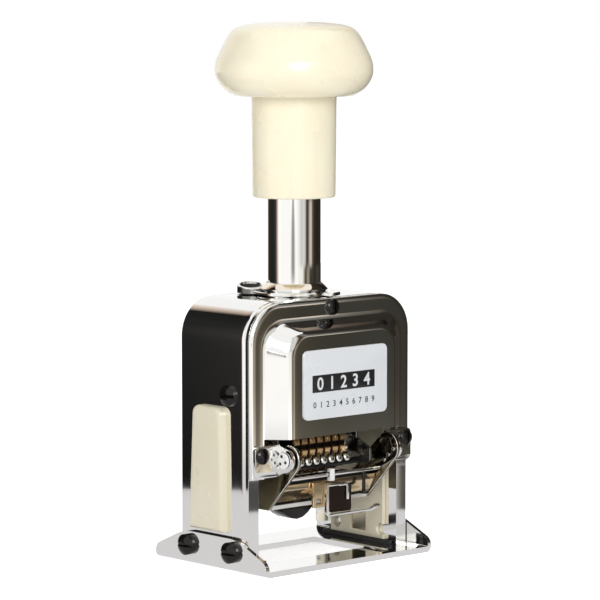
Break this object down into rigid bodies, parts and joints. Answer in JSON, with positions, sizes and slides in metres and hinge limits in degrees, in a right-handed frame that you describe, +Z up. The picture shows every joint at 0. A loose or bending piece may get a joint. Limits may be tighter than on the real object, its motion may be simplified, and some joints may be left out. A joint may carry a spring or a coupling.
{
  "type": "numbering machine",
  "caption": "Hand-operated desk numbering stamp: a sprung plunger with a round knob drives number wheels down through a U frame while the ink pad swings away.",
  "frame": {"origin": "centre of the base plate's underside, below the plunger's axis", "axes": "+Z up along the plunger, -Y towards the user's side with the label, X along the wheel axle"},
  "size_m": [0.0838, 0.0578, 0.185],
  "materials": {
    "chrome": "polished chrome plate",
    "steel": "bright nickel-plated steel",
    "brass": "machined brass",
    "black_screw": "black oxide, slightly oily",
    "black_rubber": "matte",
    "cream_knob": "glossy cream plastic",
    "cream_cover": "satin cream plastic",
    "label": "white enamel",
    "felt": "ink-soaked felt"
  },
  "bodies": {
    "stand": {"base_plate": "chrome", "base_screw_left_front": "black_screw", "base_screw_left_rear": "black_screw", "base_screw_right_front": "black_screw", "base_screw_right_rear": "black_screw", "buffer_left": "black_rubber", "buffer_right": "black_rubber", "frame": "chrome", "frame_screw_left": "black_screw", "frame_screw_right": "black_screw", "front_cover": "chrome", "rear_cover": "chrome", "label_plate": "label", "cover_screw": "black_screw", "rear_cover_screw": "black_screw", "side_cover_left": "cream_cover", "side_cover_right": "cream_cover", "liner_left": "cream_cover", "liner_right": "cream_cover", "guide_collar": "chrome", "spring_bridge": "steel", "bracket_left": "chrome", "bracket_right": "chrome", "ear_screw_left": "black_screw", "ear_screw_right": "black_screw", "pivot_rivet_left": "steel", "pivot_rivet_right": "steel"},
    "lock": {"lock_plate": "chrome"},
    "plunger": {"knob": "cream_knob", "skirt": "cream_knob", "shaft": "chrome", "return_spring": "steel", "crosshead": "steel", "cheek_left": "steel", "cheek_right": "steel", "wheel_axle": "steel", "spacer_collar": "steel", "detent_comb": "chrome"},
    "wheel_1": {"number_wheel_1": "brass"},
    "wheel_2": {"number_wheel_2": "brass"},
    "wheel_3": {"number_wheel_3": "brass"},
    "wheel_4": {"number_wheel_4": "brass"},
    "wheel_5": {"number_wheel_5": "brass"},
    "wheel_6": {"number_wheel_6": "brass"},
    "wheel_7": {"number_wheel_7": "brass"},
    "ratchet": {"ratchet_wheel": "steel"},
    "yoke": {"yoke_arm_left": "steel", "yoke_arm_right": "steel", "pawl_yoke": "steel"},
    "ink_swing": {"ink_arm_left": "chrome", "ink_arm_right": "chrome", "ink_tray": "steel", "ink_pad": "felt", "pad_clip": "chrome", "pad_tab": "brass", "tray_bar": "chrome", "bar_block": "label", "pad_pin": "black_screw", "tray_leaf": "black_screw"}
  },
  "joints": [
    {"name": "head_press", "type": "slide", "parent": "stand", "child": "plunger", "axis": [0, 0, -1], "range_m": [0, 0.029], "stiffness_N_per_m": 700, "springref_m": -0.03, "deforming": ["return_spring"]},
    {"name": "ink_turn", "type": "hinge", "parent": "stand", "child": "ink_swing", "pos_m": [0, -0.0235, 0.038], "axis": [-1, 0, 0], "range_deg": [0, 116]},
    {"name": "lock_turn", "type": "hinge", "parent": "stand", "child": "lock", "pos_m": [0, 0, 0.0919], "axis": [0, 0, 1], "range_deg": [0, 60]},
    {"name": "yoke_turn", "type": "hinge", "parent": "plunger", "child": "yoke", "pos_m": [0, -0.007, 0.0405], "axis": [1, 0, 0], "range_deg": [0, 36]},
    {"name": "wheel_1_turn", "type": "hinge", "parent": "plunger", "child": "wheel_1", "pos_m": [-0.0147, -0.007, 0.0405], "axis": [1, 0, 0], "continuous": true},
    {"name": "wheel_2_turn", "type": "hinge", "parent": "plunger", "child": "wheel_2", "pos_m": [-0.0111, -0.007, 0.0405], "axis": [1, 0, 0], "continuous": true},
    {"name": "wheel_3_turn", "type": "hinge", "parent": "plunger", "child": "wheel_3", "pos_m": [-0.0076, -0.007, 0.0405], "axis": [1, 0, 0], "continuous": true},
    {"name": "wheel_4_turn", "type": "hinge", "parent": "plunger", "child": "wheel_4", "pos_m": [-0.004, -0.007, 0.0405], "axis": [1, 0, 0], "continuous": true},
    {"name": "wheel_5_turn", "type": "hinge", "parent": "plunger", "child": "wheel_5", "pos_m": [-0.0005, -0.007, 0.0405], "axis": [1, 0, 0], "continuous": true},
    {"name": "wheel_6_turn", "type": "hinge", "parent": "plunger", "child": "wheel_6", "pos_m": [0.0031, -0.007, 0.0405], "axis": [1, 0, 0], "continuous": true},
    {"name": "wheel_7_turn", "type": "hinge", "parent": "plunger", "child": "wheel_7", "pos_m": [0.0066, -0.007, 0.0405], "axis": [1, 0, 0], "continuous": true},
    {"name": "ratchet_turn", "type": "hinge", "parent": "plunger", "child": "ratchet", "pos_m": [0.0096, -0.007, 0.0405], "axis": [1, 0, 0], "continuous": true}
  ],
  "couplings": [
    {"joint": "ink_turn", "follows": "head_press", "rad_per_m": 69.8},
    {"joint": "yoke_turn", "follows": "head_press", "rad_per_m": 21.6}
  ]
}
